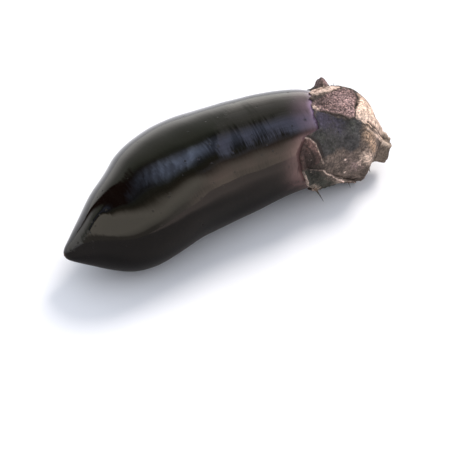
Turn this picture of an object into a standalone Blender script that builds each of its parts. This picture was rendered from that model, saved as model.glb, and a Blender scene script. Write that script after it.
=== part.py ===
"""An eggplant as picked, lying on its belly and its calyx, the blossom tip toward -X and the cut stem toward +X.

Three sub-parts: the fruit, the calyx that caps its neck, with its prickles, and the short stem above the
calyx. Every surface is laid around one curved middle line that runs from the blossom tip to the cut end.
Lengths in the tables are millimetres, because that is how the fruit would be measured.
"""

import math

import bmesh
import bpy
import numpy as np
from mathutils import Matrix, Vector

MM = 0.001

# The middle line, from the blossom tip: how far along, how far across (+Y) and how high its points lie.
MIDDLE_LINE = (
    (0, 1.3, 17.0),
    (20, -0.6, 22.4),
    (40, 0.9, 27.0),
    (60, 7.3, 31.5),
    (85, 13.0, 32.9),
    (115, 15.4, 32.5),
    (145, 16.8, 31.2),
    (168, 15.6, 27.6),
    (188, 10.4, 22.4),
    (195, 6.5, 16.6),
    (204, 0.5, 13.2),
)
# Cross-sections turn this much later than the line does, so that the shoulder stays square to the neck.
SECTION_LAG = 10.0
# Half thickness of the fruit along that line. The last points are the neck hidden in the calyx.
FRUIT_GIRTH = (
    (0, 0.0),
    (5, 6.6),
    (14, 14.1),
    (28, 24.1),
    (45, 29.9),
    (65, 32.9),
    (90, 33.0),
    (120, 30.9),
    (150, 28.4),
    (158, 27.2),
    (164, 25.3),
    (172, 23.6),
    (179, 18.5),
    (184, 0.0),
)
# Outside of the calyx: half thickness from below its rim, over the shoulder, to the crown under the stem.
CALYX_OUTSIDE = (
    (136, 31.2),
    (150, 29.6),
    (158, 27.9),
    (165, 26.9),
    (175, 26.6),
    (183, 26.8),
    (188, 24.8),
    (191.5, 18.6),
    (194.5, 12.6),
    (197, 10.0),
)
CROWN_ALONG = 197.0
# Stem: half thickness from the crown to the cut face.
STEM_GIRTH = ((197, 9.9), (199, 8.6), (201, 7.8), (204.8, 7.4))
STEM_RIDGES = 5
STEM_RIDGE_HEIGHT = 0.35
CUT_SLANT = 4.6  # the cut is this much nearer the crown on its short side
CUT_SHORT_SIDE = 92

# Rim of the calyx around the neck: angle in degrees (0 faces -Y, 90 faces up) and how far along the rim lies.
RIM = (
    (-50, 154),
    (-30, 148),
    (-15, 139.5),
    (2, 136),
    (24, 136),
    (37, 141),
    (45, 150.5),
    (72, 150.5),
    (92, 155),
    (122, 168),
    (134, 168),
    (150, 160),
    (180, 150),
    (206, 165),
    (236, 148),
    (262, 162),
)
# The edge of the calyx that is turned back over it: angle, then length, lift and thickness. Two sepals are
# folded right back, and between them the edge is a narrow lip.
TURNED_BACK = (
    (-66, 0.9, 0.15, 0.5),
    (-56, 22, 0.4, 1.0),
    (-49, 28, 0.5, 1.2),
    (-30, 23, 0.6, 1.4),
    (-16, 21, 0.6, 1.4),
    (-4, 14, 0.5, 1.2),
    (8, 0.9, 0.15, 0.5),
    (114, 0.9, 0.15, 0.5),
    (127, 8, 1.2, 3.2),
    (142, 0.9, 0.15, 0.5),
)
FOLD_BULGE = 1.4  # how far a fold rounds out past the rim
CREASE = 0.3  # how far past the rim a fold closes on the calyx
SHOULDER_FROM = 170.0

# Prickles: how far along, angle, length, base radius and how far the point leans toward the stem.
PRICKLES = (
    (147.5, -29, 8.3, 0.75, 1.8),
    (177.3, -47, 3.6, 0.5, 0.6),
    (188.2, -12, 1.6, 0.45, 0.3),
    (178.5, 125, 2.2, 0.45, 0.2),
    (178.0, 176, 2.8, 0.5, 0.8),
    (168.0, 214, 3.6, 0.55, 1.4),
    (182.0, 232, 2.2, 0.45, 0.6),
)

GAP = 0.35  # left between pieces that touch
OVALNESS = 0.008  # the fruit is a little taller than wide

FRUIT_RINGS, FRUIT_SIDES = 46, 48
CALYX_SIDES = 72
STEM_SIDES = 25
PRICKLE_SIDES = 8
PRICKLE_ROOT = 0.9
PRICKLE_POINT = 0.1


def through(points, at):
    """Heights at the places `at` of the smooth curve through (place, height) points."""
    place, height = np.array(points, float).T
    at = np.asarray(at, float)
    step = np.diff(place)
    rise = np.diff(height) / step
    bends = np.eye(len(place))
    change = np.zeros(len(place))
    for i in range(1, len(place) - 1):
        bends[i, i - 1 : i + 2] = step[i - 1], 2 * (step[i - 1] + step[i]), step[i]
        change[i] = 6 * (rise[i] - rise[i - 1])
    bend = np.linalg.solve(bends, change)
    i = np.clip(np.searchsorted(place, at) - 1, 0, len(step) - 1)
    gone, left, width = at - place[i], place[i + 1] - at, step[i]
    cubic = (bend[i] * left**3 + bend[i + 1] * gone**3) / (6 * width)
    line = (height[i] / width - bend[i] * width / 6) * left
    return cubic + line + (height[i + 1] / width - bend[i + 1] * width / 6) * gone


def half_thickness(girth, along):
    """The curve is drawn through the squares, so that an end whose thickness is 0 comes out round."""
    squares = [(place, out * out) for place, out in girth]
    return np.sqrt(np.maximum(through(squares, along), 0))


def middle(along):
    across = [(place, y) for place, y, _ in MIDDLE_LINE]
    height = [(place, z) for place, _, z in MIDDLE_LINE]
    return np.stack([np.asarray(along, float), through(across, along), through(height, along)], -1)


def around_middle(along, out, angle):
    """Points `out` from the middle line, square to it, at `angle` (0 faces -Y, a quarter turn faces up)."""
    along, out, angle = np.broadcast_arrays(along, out, angle)
    ahead = middle(along - SECTION_LAG + 0.5) - middle(along - SECTION_LAG - 0.5)
    ahead /= np.linalg.norm(ahead, axis=-1, keepdims=True)
    front = np.cross(ahead, (0, 0, 1))
    front /= np.linalg.norm(front, axis=-1, keepdims=True)
    top = np.cross(front, ahead)
    return middle(along) + out[..., None] * (
        np.cos(angle)[..., None] * front + np.sin(angle)[..., None] * top
    )


def angles(count):
    return np.arange(count) * 2 * math.pi / count


def eased(count):
    """Steps from 0 to 1 that crowd together toward both ends, for a body with round ends."""
    return (1 - np.cos(np.linspace(0, math.pi, count))) / 2


def material(name, colour, roughness, metallic=0.0):
    made = bpy.data.materials.new(name)
    made.use_nodes = True
    shader = made.node_tree.nodes["Principled BSDF"]
    shader.inputs["Base Color"].default_value = (*colour, 1)
    shader.inputs["Roughness"].default_value = roughness
    shader.inputs["Metallic"].default_value = metallic
    return made


def add_object(name, mesh_in, made_of):
    """Turns a bmesh in millimetres into a named object in metres."""
    bmesh.ops.recalc_face_normals(mesh_in, faces=mesh_in.faces)
    bmesh.ops.scale(mesh_in, vec=(MM, MM, MM), verts=mesh_in.verts)
    mesh = bpy.data.meshes.new(name)
    mesh_in.to_mesh(mesh)
    mesh_in.free()
    mesh.materials.append(made_of)
    made = bpy.data.objects.new(name, mesh)
    bpy.context.scene.collection.objects.link(made)
    return made


def skinned(rings, first_pole, last_pole):
    """A closed body over rings of points, with a single point at each end."""
    body = bmesh.new()
    loops = [[body.verts.new(point) for point in ring] for ring in rings]
    for loop, following in zip(loops, loops[1:]):
        for i, vert in enumerate(loop):
            j = (i + 1) % len(loop)
            body.faces.new((vert, loop[j], following[j], following[i]))
    for pole, loop in ((first_pole, loops[0]), (last_pole, loops[-1])):
        end = body.verts.new(pole)
        for i, vert in enumerate(loop):
            body.faces.new((end, vert, loop[(i + 1) % len(loop)]))
    return body


def rest_flat(body):
    """Cuts off what lies below the surface and closes the body with one flat face there."""
    everything = body.verts[:] + body.edges[:] + body.faces[:]
    cut = bmesh.ops.bisect_plane(
        body, geom=everything, dist=1e-4, plane_co=(0, 0, 0), plane_no=(0, 0, -1), clear_outer=True
    )
    edges = [item for item in cut["geom_cut"] if isinstance(item, bmesh.types.BMEdge)]
    bmesh.ops.edgeloop_fill(body, edges=edges)
    return body


def fruit_surface(along, angle):
    out = half_thickness(FRUIT_GIRTH, along) * (1 - OVALNESS * np.cos(2 * angle))
    return around_middle(along, out, angle)


def fruit():
    length = FRUIT_GIRTH[-1][0]
    stations = eased(FRUIT_RINGS)[1:-1] * length
    rings = fruit_surface(stations[:, None], angles(FRUIT_SIDES)[None, :])
    body = skinned(rings, middle(0.0), middle(float(length)))
    return add_object("fruit", rest_flat(body), material("eggplant_skin", (0.018, 0.009, 0.016), 0.2))


def round_the_neck(table, angle):
    """Values at each angle, eased from one row of the table to the next and round to the first again."""
    rows = [(table[-1][0] - 360, *table[-1][1:]), *table, (table[0][0] + 360, *table[0][1:])]
    place = np.array([row[0] for row in rows], float)
    values = np.array([row[1:] for row in rows], float)
    degrees = (np.degrees(angle) - place[0]) % 360 + place[0]
    i = np.clip(np.searchsorted(place, degrees) - 1, 0, len(place) - 2)
    share = (degrees - place[i]) / (place[i + 1] - place[i])
    share = (share * share * (3 - 2 * share))[:, None]
    return (values[i] * (1 - share) + values[i + 1] * share).T


def calyx():
    """A cap on the neck. Each angle has one path: inside, round the rim, out and back along the edge that
    is turned back, then over the shoulder to the crown."""
    angle = angles(CALYX_SIDES)
    (rim,) = round_the_neck(RIM, angle)
    length, lift, thickness = round_the_neck(TURNED_BACK, angle)
    neck_end = FRUIT_GIRTH[-1][0] + GAP

    def inside(along):
        return half_thickness(FRUIT_GIRTH, along) * (1 + OVALNESS) + GAP

    def outside(along):
        return half_thickness(CALYX_OUTSIDE, along)

    path = []
    for share in (0.03, 0.1, 0.2, 0.35, 0.55, 0.8, 1):
        along = neck_end + (rim - neck_end) * share
        path.append((along, inside(along - GAP)))
    crest = outside(rim) + lift + thickness
    path.append((rim - FOLD_BULGE, (inside(rim) + crest) / 2))
    for share in (0, 0.25, 0.5, 0.75):
        along = rim + length * share
        path.append((along, outside(along) + lift + thickness))
    tip = rim + length
    path.append((tip + 0.4 * thickness, outside(tip) + lift + 0.5 * thickness))
    crease = rim + CREASE
    for share in (0.95, 0.7, 0.45, 0.2, 0):
        along = crease + (length - CREASE) * share
        path.append((along, outside(along) + lift))
    path.append((rim, outside(crease) + lift / 2))
    path.append((crease, outside(crease)))
    shoulder = np.maximum(crease + 0.5, SHOULDER_FROM)
    for share in (0.2, 0.4, 0.6, 0.8, 1):
        along = crease + (shoulder - crease) * share
        path.append((along, outside(along)))
    for share in (0.25, 0.45, 0.6, 0.72, 0.84, 0.93, 1):
        along = shoulder + (CROWN_ALONG - shoulder) * share
        path.append((along, outside(along)))
    rings = [around_middle(along, out, angle) for along, out in path]
    body = skinned(rings, middle(neck_end), middle(CROWN_ALONG))
    return add_object("calyx", rest_flat(body), material("calyx_flesh", (0.075, 0.055, 0.045), 0.8))


def stem():
    """A short ridged stub with a flat base on the crown and a slanting cut face."""
    angle = angles(STEM_SIDES)[None, :]
    base = STEM_GIRTH[0][0] + GAP
    cut = STEM_GIRTH[-1][0] - CUT_SLANT * (1 + np.cos(angle - math.radians(CUT_SHORT_SIDE))) / 2
    stations = base + (cut - base) * np.linspace(0, 1, 7)[:, None]
    out = half_thickness(STEM_GIRTH, stations) + STEM_RIDGE_HEIGHT * np.cos(STEM_RIDGES * angle)
    rings = around_middle(stations, out, angle)
    body = skinned(rings, middle(base), rings[-1].mean(0))
    return add_object("stem", body, material("stem_bark", (0.16, 0.12, 0.085), 0.75))


def prickles():
    """The calyx's thorns, as cones that start inside its flesh."""
    body = bmesh.new()
    for along, degrees, length, radius, lean in PRICKLES:
        turn = np.radians([degrees])
        (rim,) = round_the_neck(RIM, turn)[:, 0]
        length_back, lift, thickness = round_the_neck(TURNED_BACK, turn)[:, 0]
        on_fold = along < rim + length_back
        surface = half_thickness(CALYX_OUTSIDE, along) + (lift + thickness if on_fold else 0)
        foot = Vector(around_middle(along, surface - PRICKLE_ROOT, turn[0]))
        point = Vector(around_middle(along + lean, surface + length, turn[0]))
        upright = (point - foot).to_track_quat("Z", "Y").to_matrix().to_4x4()
        bmesh.ops.create_cone(
            body,
            cap_ends=True,
            segments=PRICKLE_SIDES,
            radius1=radius,
            radius2=PRICKLE_POINT,
            depth=(point - foot).length,
            matrix=Matrix.Translation((foot + point) / 2) @ upright,
        )
    return add_object("prickles", body, material("prickle_horn", (0.09, 0.07, 0.045), 0.6))


def grown_together(body, growth):
    """The first object with the second one joined to it as one solid."""
    union = body.modifiers.new("grown_together", "BOOLEAN")
    union.operation = "UNION"
    union.solver = "EXACT"
    union.object = growth
    graph = bpy.context.evaluated_depsgraph_get()
    body.data = bpy.data.meshes.new_from_object(body.evaluated_get(graph))
    body.modifiers.clear()
    bpy.data.objects.remove(growth)
    return body


def centre_on_origin(parts):
    """Moves the meshes so that the whole eggplant's box is centred on the origin in X and Y."""
    corners = np.array([vert.co for part in parts for vert in part.data.vertices])
    centre = (corners.min(0) + corners.max(0)) / 2
    for part in parts:
        part.data.transform(Matrix.Translation((-centre[0], -centre[1], 0)))


def build():
    for old in list(bpy.data.objects):
        bpy.data.objects.remove(old, do_unlink=True)
    centre_on_origin([fruit(), grown_together(calyx(), prickles()), stem()])


build()
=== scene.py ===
import functools
import math

import bpy
import numpy as np
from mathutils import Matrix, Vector


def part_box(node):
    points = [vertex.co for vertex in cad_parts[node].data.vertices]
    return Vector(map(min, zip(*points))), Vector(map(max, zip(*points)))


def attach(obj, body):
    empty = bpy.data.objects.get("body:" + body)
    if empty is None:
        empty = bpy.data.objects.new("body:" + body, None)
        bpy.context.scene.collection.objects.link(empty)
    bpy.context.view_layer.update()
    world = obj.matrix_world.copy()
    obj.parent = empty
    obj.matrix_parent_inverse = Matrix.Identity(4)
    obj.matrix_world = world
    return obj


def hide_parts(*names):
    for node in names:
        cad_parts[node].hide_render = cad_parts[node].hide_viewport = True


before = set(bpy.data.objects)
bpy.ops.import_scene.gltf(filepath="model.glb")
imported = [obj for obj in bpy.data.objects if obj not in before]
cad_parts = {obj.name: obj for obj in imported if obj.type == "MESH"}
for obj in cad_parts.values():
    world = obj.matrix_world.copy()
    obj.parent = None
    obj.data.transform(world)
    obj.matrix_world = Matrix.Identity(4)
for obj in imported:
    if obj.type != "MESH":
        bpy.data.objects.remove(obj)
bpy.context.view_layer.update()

bl_info = {
    "name": "Eggplant",
    "version": (1, 0, 0),
    "blender": (4, 5, 0),
    "location": "View3D > Sidebar > Eggplant",
    "description": "Grows an eggplant with its calyx, prickles and cut stem around the packed model",
    "category": "Add Mesh",
}

MM = 0.001

# The tables below are in millimetres and degrees. Along runs from the blossom tip to the stem, and angles run
# round the fruit: 0 faces the front (-Y), 90 faces up.
# The middle line: how far along, how far across (+Y) and how high its points lie.
MIDDLE_LINE = (
    (0, 1.3, 17.0), (20, -0.6, 22.4), (40, 0.9, 27.0), (60, 7.3, 31.5), (85, 13.0, 32.9), (115, 15.4, 32.5),
    (145, 16.8, 31.2), (168, 15.6, 27.6), (188, 10.4, 22.4), (195, 6.5, 16.6), (204, 0.5, 13.2),
)
# Each section stands square to the middle line this far behind it.
SECTION_LAG = 10.0
# How far along, and half the thickness there.
FRUIT_GIRTH = (
    (0, 0.0), (5, 6.6), (14, 14.1), (28, 24.1), (45, 29.9), (65, 32.9), (90, 33.0), (120, 30.9),
    (150, 28.4), (158, 27.2), (164, 25.3), (172, 23.6), (179, 18.5), (184, 0.0),
)
FRUIT_END = FRUIT_GIRTH[-1][0]
CALYX_OUTSIDE = (
    (136, 31.2), (150, 29.6), (158, 27.9), (165, 26.9), (175, 26.6), (183, 26.8), (188, 24.8),
    (191.5, 18.6), (194.5, 12.6), (197, 10.0),
)
CROWN_ALONG = 197.0
CROWN_DROP = 0.9  # how far the outside sinks toward the crown
STEM_FOOT = 195.0  # inside the crown
STEM_GIRTH = ((195, 11.5), (197, 9.9), (199, 8.6), (201, 7.8), (204.8, 7.4))
STEM_RIDGES = 5
STEM_RIDGE_HEIGHT = 0.35
CUT_SLANT = 4.6  # how much shorter the stem is on its short side
CUT_SHORT_SIDE = 92  # the angle at which the slanted cut leaves the stem shortest
CUT_EDGE = 0.4  # radius of the edge round the cut
PITH_HOLLOW = 0.5  # how deep the middle of the cut face lies
# Lines along the stem: how high (or deep, below 0), how wide and (along, angle) points.
STEM_LINES = (
    (0.9, 1.1, ((195, 50), (197, 55), (200, 60), (204, 62))),
    (0.9, 1.3, ((194.5, 84), (197, 102), (200, 108), (204, 112))),
    (-1.1, 1.0, ((195, 66), (197, 76), (200, 84), (204, 86))),
    (0.6, 1.2, ((195, 8), (200, 4), (204, 2))),
    (0.6, 1.2, ((195, 184), (204, 186))),
    (0.6, 1.2, ((195, 240), (204, 238))),
    (-0.5, 1.2, ((195, -20), (204, -24))),
    (-0.5, 1.2, ((195, 212), (204, 214))),
    (-0.5, 1.2, ((195, 140), (204, 146))),
)
STEM_CREST = 0.8  # lines higher than this are pale
# Rim of the calyx: angle, then how far along the rim lies.
RIM = (
    (-50, 154), (-30, 148), (-15, 139.5), (2, 136), (24, 136), (37, 141), (45, 152), (72, 153), (92, 157),
    (122, 168), (134, 168), (150, 160), (180, 150), (206, 165), (236, 148), (262, 162),
)
# The turned-back edge of the calyx: angle, then length, lift and thickness.
TURNED_BACK = (
    (-66, 0.9, 0.15, 0.5), (-56, 22, 0.4, 1.0), (-49, 28, 0.5, 1.2), (-30, 23, 0.6, 1.4),
    (-16, 21, 0.6, 1.4), (-4, 14, 0.5, 1.2), (8, 0.9, 0.15, 0.5), (114, 0.9, 0.15, 0.5), (127, 8, 1.2, 3.2),
    (142, 0.9, 0.15, 0.5),
)
FOLD_BULGE = 1.4  # how far the fold stands past the rim
CREASE = 0.3  # from the rim to where the turned-back edge leaves the flesh
SHOULDER_FROM = 170.0  # the rings of the outside are evenly spaced from here to the crown
FOLD_STARTS = 1.5, 5  # the edge is plain up to the first length and a full fold from the second
KNOB = 112, 142  # the angles between which the turned-back edge is a knob
KNOB_PEAK = 3.7  # how far the knob swells at its middle
# Prickles: how far along, angle, length, base radius and how far the point leans toward the stem.
PRICKLES = (
    (147.5, -29, 8.3, 0.75, 1.8), (177.3, -47, 3.6, 0.5, 0.6), (188.2, -12, 1.6, 0.45, 0.3),
    (178.5, 125, 2.2, 0.45, 0.2), (178.0, 176, 2.8, 0.5, 0.8), (168.0, 214, 3.6, 0.55, 1.4),
    (182.0, 232, 2.2, 0.45, 0.6),
)
PRICKLE_ROOT = 0.9  # how deep a prickle starts in the flesh
GAP = 0.35  # between the skin and the calyx
FLOOR_GAP = 0.0001  # in metres, under the fruit
SOFT_CONTACT = 0.3  # how softly flesh flattens where it meets the floor
OVALNESS = 0.008  # share of its radius that the fruit gains in height and loses in width
LEAST_FLESH = 0.4  # thinnest the calyx gets between its ridges
# Millimetres to one degree round the unrolled calyx, and round the unrolled stem.
SPREAD = 0.47
STEM_SPREAD = 0.17

FRUIT_RINGS, FRUIT_SIDES = 332, 300
CALYX_SIDES = 480
STEM_RINGS, STEM_SIDES = 60, 200
PRICKLE_RINGS, PRICKLE_SIDES = 26, 20

# Chance specks on the skin: from and to how far along, and how many. Their radius lies between two sizes.
SPECKS = ((3, 40, 24), (40, 150, 20))
SPECK_RADIUS = 0.4, 0.75
SPECK_DEPTH = 0.03
WAVES_END = 128, 146  # the skin's waves fade out between these, so that the calyx fits
STREAK_PACE = 0.09, 0.018  # how fast the streaks change along the fruit and round it, per millimetre
FIBRE_PACE = 0.12  # how fast the stem's fibres change along it
SAW_SLANT = (0.16, -0.12, -0.04)  # the way the rough spots of the cut face lean
PRICKLE_TAPER = 1.25  # a higher value thins a prickle sooner
PRICKLE_BOW = 0.05  # how far a prickle bows to one side, as a share of its length
ANY_WAY = (0.3, 0.5, 0.8)  # a direction that no prickle points in
# Marks on the skin that have their own places: how far along, angle and radius.
MARKS = (
    (9, 60.5, 0.8), (12.5, 59, 1.0), (14, 61.5, 0.8), (15.8, 65, 1.1), (16, 44, 0.6), (19.5, 74.5, 0.8),
    (20.2, 64, 0.6), (24.2, 73.5, 0.6), (52.2, 44, 0.9), (53.6, 46, 0.7), (62.5, 28, 0.9), (63.6, 24, 0.8),
    (74, 29.5, 0.6), (80.2, 85.5, 0.9), (87.2, 58.5, 1.3), (89.8, 30, 0.8), (93.5, 23, 0.8),
    (102.8, 86, 0.9), (104, 89, 0.9), (105.2, 92, 0.8), (111.2, 36, 0.9), (119, 36, 1.0), (121, 32, 0.7),
    (144.8, 57, 1.1), (147, 104, 1.3),
)
# Areas of the calyx's outside as outlines of (along, angle).
SEPAL_ON_TOP = (
    (149.5, 73), (151.2, 68.5), (153.2, 65), (159.2, 62.5), (165.5, 58.5), (172.2, 53), (177.5, 54.5),
    (179.5, 67), (181.5, 74), (184, 88), (184, 97), (181, 101), (173, 98.5), (165.8, 94), (159.2, 85),
    (153.8, 78),
)
SHOULDER = (
    (178.3, 54.5), (180.2, 67), (182.3, 74), (185, 88), (186, 106), (190, 116), (196, 110), (198, 60),
    (192, 50), (186, 47), (182, 51),
)
SEPAL_IN_FRONT = (
    (149, 72), (150.3, 60), (149.5, 45), (143.5, 41), (140.5, 37), (142.5, 35), (145.5, 30), (148.5, 12),
    (156, 15), (163, 20), (170, 12), (178, 12), (178.5, 26), (180.5, 32), (183.5, 40), (185, 50), (181, 53),
    (177, 53), (172, 52), (165.5, 57.5), (159, 61.5), (153, 64),
)
RUSTY_FOLD = (
    (132, 40), (140, 38.5), (143, 34.5), (145.5, 28), (147.5, 13), (147, 8), (141, 6), (132, 6),
)
MARGIN_ON_TOP = (
    (154, 86), (157, 100), (162, 110), (166, 118), (174, 120), (180, 112), (178, 105), (171, 102), (165, 99),
    (159, 91),
)
# Soft spots of each tone: along, angle, reach in millimetres and share of the tone.
TINTS = {
    "violet": ((154, 56, 8, 0.9), (162, 50, 8, 0.6), (150, 46, 5, 0.5)),
    "green": (
        (150, 36, 5, 0.6), (157, 26, 6, 0.45), (174, 45, 6, 0.55), (183, 114, 5, 0.5), (165, 205, 8, 0.5),
        (158, 240, 7, 0.4), (176, 160, 6, 0.4),
    ),
    "rosy": (
        (176, -9, 6, 0.5), (170, 3, 5, 0.35), (140, 33, 3, 0.6), (142, 12, 3, 0.5), (171, 126, 5, 0.5),
        (168, 182, 8, 0.5), (172, 236, 7, 0.45), (170, 285, 8, 0.4),
    ),
    "tan": (
        (184, 6, 6, 0.75), (179, -4, 4, 0.3), (186, 118, 4, 0.5), (190, 170, 6, 0.5), (188, 232, 6, 0.45),
        (190, 290, 6, 0.4),
    ),
    "ochre": ((185, 33, 5, 0.9), (188, 24, 5, 0.8), (184, 44, 3, 0.5)),
    # The first two pale spots are a painted highlight at the end of the upper sepal's ridge.
    "pale": ((152.6, 69.5, 1.3, 1.0), (154, 67.5, 1.0, 0.9), (168.1, 2, 0.8, 1.0), (170.7, -20, 0.8, 0.9)),
}
# Where the calyx is painted lighter (above 1) or darker (below 1): along, angle, reach and how many times as
# light. Partly the flesh's own tone and partly painted light and shade: the sepal on top lighter toward the
# stem, where the light falls, a painted glow low on the turned-back edge near the floor, and painted shade
# under the curled front fold.
SHADES = (
    (155, 77, 6, 0.65), (174, 72, 8, 2.0), (159, 85, 4, 0.5), (166, 58, 3.5, 0.95), (151, 31, 6, 0.8),
    (176, 40, 6, 1.6), (136.5, 27, 3, 0.4), (145, -4, 5, 0.45), (169, -34, 6, 2.5), (151, -30, 7, 1.12),
    (188, 104, 8, 0.36), (176, -9, 5, 1.7), (168, 112, 7, 1.25), (150, 34, 2, 1.25), (143, 14, 4, 0.5),
    (138, 11, 5, 0.35), (141, 6, 4, 0.4), (141, 17, 3, 0.5), (163, 127, 9, 0.55),
)
# Lines across the calyx: how high (or deep, below 0), how wide, their tone and (along, angle) points. The
# seam tone is painted shade in the clefts.
LINES = (
    (0.75, 1.0, None, ((151.2, 69), (153.2, 65.5), (159.2, 63), (165.5, 59), (172.2, 53.8), (177.5, 55))),
    (-0.9, 0.8, "seam", ((177, 55.5), (180, 67), (182, 74), (184.6, 88), (184.6, 99))),
    (-1.6, 1.0, "seam", ((152.5, 78), (156, 82.5), (159.5, 86), (165, 94), (170, 98), (180, 103))),
    (0.5, 0.9, None, ((143.5, 36), (148, 33), (153, 31), (157, 29), (160, 24))),
    (0.9, 0.8, "pale", ((139.2, 38.5), (142.5, 35.5), (145.5, 29.5), (148, 12), (150, 5))),
    (-0.7, 0.9, "seam", ((141, 39.5), (144.3, 36.5), (147.3, 30), (150, 13))),
    (-0.5, 0.5, "seam", ((137, 34), (141, 25), (142.5, 14), (142, 8))),
    (1.2, 1.0, "tan", ((184.5, 42), (186.5, 39), (189, 39.5), (192, 45), (197, 55))),
    (1.4, 1.3, "tan", ((187.5, 60), (189.5, 64), (192, 74), (194.5, 86), (197, 102))),
    (-1.6, 0.9, "seam", ((185.8, 52), (188, 50), (191, 55), (194, 63), (197, 78))),
    (0.7, 1.2, None, ((180, 16), (186, 12), (190, 14), (194, 10), (197, 4))),
    (0.8, 1.3, None, ((164, 180), (176, 180), (186, 182), (197, 184))),
    (0.8, 1.3, None, ((160, 236), (174, 236), (186, 238), (197, 240))),
    (-0.8, 1.0, None, ((166, 206), (178, 207), (188, 210), (197, 212))),
    (-0.8, 1.0, None, ((163, 262), (176, 262), (188, 268), (197, 270))),
    (0.9, 1.3, None, ((174, 128), (184, 128), (191, 132), (197, 136))),
    (-0.7, 1.0, None, ((161, 151), (174, 152), (186, 155), (197, 158))),
    (0.8, 1.3, None, ((184, -44), (190, -46), (197, -50))),
    (-0.6, 1.0, None, ((168, -80), (180, -78), (190, -76), (197, -74))),
)


def through(points, at):
    """Heights at the places `at` of the smooth curve through (place, height) points."""
    place, height = np.array(points, float).T
    at = np.asarray(at, float)
    step = np.diff(place)
    rise = np.diff(height) / step
    bends = np.eye(len(place))
    change = np.zeros(len(place))
    for i in range(1, len(place) - 1):
        bends[i, i - 1 : i + 2] = step[i - 1], 2 * (step[i - 1] + step[i]), step[i]
        change[i] = 6 * (rise[i] - rise[i - 1])
    bend = np.linalg.solve(bends, change)
    i = np.clip(np.searchsorted(place, at) - 1, 0, len(step) - 1)
    gone, left, width = at - place[i], place[i + 1] - at, step[i]
    cubic = (bend[i] * left**3 + bend[i + 1] * gone**3) / (6 * width)
    line = (height[i] / width - bend[i] * width / 6) * left
    return cubic + line + (height[i + 1] / width - bend[i + 1] * width / 6) * gone


def half_thickness(girth, along):
    squares = [(place, out * out) for place, out in girth]
    return np.sqrt(np.maximum(through(squares, along), 0))


def middle(along):
    across = [(place, y) for place, y, _ in MIDDLE_LINE]
    height = [(place, z) for place, _, z in MIDDLE_LINE]
    return np.stack([np.asarray(along, float), through(across, along), through(height, along)], -1)


def around_middle(along, out, angle):
    """Points `out` from the middle line, square to it, at `angle` (0 faces -Y, a quarter turn faces up)."""
    along, out, angle = np.broadcast_arrays(along, out, angle)
    ahead = middle(along - SECTION_LAG + 0.5) - middle(along - SECTION_LAG - 0.5)
    ahead /= np.linalg.norm(ahead, axis=-1, keepdims=True)
    front = np.cross(ahead, (0, 0, 1))
    front /= np.linalg.norm(front, axis=-1, keepdims=True)
    top = np.cross(front, ahead)
    return middle(along) + out[..., None] * (
        np.cos(angle)[..., None] * front + np.sin(angle)[..., None] * top
    )


def angles(count):
    return np.arange(count) * 2 * math.pi / count


def round_the_neck(table, angle):
    """Values at each angle, eased from one row of the table to the next and round to the first again."""
    rows = [(table[-1][0] - 360, *table[-1][1:]), *table, (table[0][0] + 360, *table[0][1:])]
    place = np.array([row[0] for row in rows], float)
    values = np.array([row[1:] for row in rows], float)
    degrees = (np.degrees(angle) - place[0]) % 360 + place[0]
    i = np.clip(np.searchsorted(place, degrees) - 1, 0, len(place) - 2)
    share = (degrees - place[i]) / (place[i + 1] - place[i])
    share = (share * share * (3 - 2 * share))[:, None]
    return (values[i] * (1 - share) + values[i + 1] * share).T


def eased(value, start, end):
    """0 before start, 1 after end, smooth between them."""
    share = np.clip((value - start) / (end - start), 0, 1)
    return share * share * (3 - 2 * share)


def hills(points, size, seed, count=28):
    """Soft random hills and hollows of about 1, `size` from crest to crest."""
    draw = np.random.default_rng(seed)
    heading = draw.normal(size=(count, 3))
    heading /= np.linalg.norm(heading, axis=1, keepdims=True)
    pace = 2 * math.pi / size * draw.uniform(0.65, 1.35, (count, 1)) * heading
    start = draw.uniform(0, 2 * math.pi, count)
    total = np.zeros(points.shape[:-1])
    for turn, phase in zip(pace, start):
        total += np.sin(points @ turn + phase)
    return total / math.sqrt(count)


def scattered(home, seed):
    """A repeatable random place in each cell of a grid, from 0 to 1 each way."""
    mixed = home.astype(np.int64)
    places = []
    for turn in range(3):
        value = mixed[..., 0] * 73856093 ^ mixed[..., 1] * 19349663 ^ mixed[..., 2] * 83492791
        value = (value ^ (seed * 2654435 + turn * 97531)) & 0x7FFFFFFF
        value = (value * 1103515245 + 12345) & 0x7FFFFFFF
        value = ((value >> 13) ^ value) * 1274126177 & 0x7FFFFFFF
        places.append((value >> 8 & 0xFFFF) / 65536)
    return np.stack(places, -1)


def grains(points, size, seed):
    """Rounded grains packed side by side: near 1 at the middle of a grain, 0 in the seams between grains."""
    home = np.floor(points / size)
    nearest = np.full(points.shape[:-1], 9.0)
    second = nearest.copy()
    for step in np.ndindex(3, 3, 3):
        cell = home + np.array(step) - 1
        reach = np.linalg.norm(points / size - cell - scattered(cell, seed), axis=-1)
        second = np.minimum(second, np.maximum(nearest, reach))
        nearest = np.minimum(nearest, reach)
    return eased(second - nearest, 0, 0.55)


def unrolled(along, degrees, spread=SPREAD):
    """Places on the outside laid flat: how far along, and how far round in millimetres."""
    return np.stack(np.broadcast_arrays(along, degrees * spread), -1)


def near_to(degrees, centre):
    """The same angles, counted so that they lie within half a turn of the centre."""
    return (degrees - centre + 180) % 360 - 180 + centre


def beside(degrees, centre, near, far):
    """1 within `near` degrees of the centre, 0 past `far`."""
    return 1 - eased(np.abs(near_to(degrees, centre) - centre), near, far)


def laid_flat(along, degrees, points, spread):
    """Unrolled places and (along, angle) points, counted on the same side of the neck."""
    stations, turns = np.array(points, float).T
    return unrolled(along, near_to(degrees, turns.mean()), spread), unrolled(stations, turns, spread)


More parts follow.
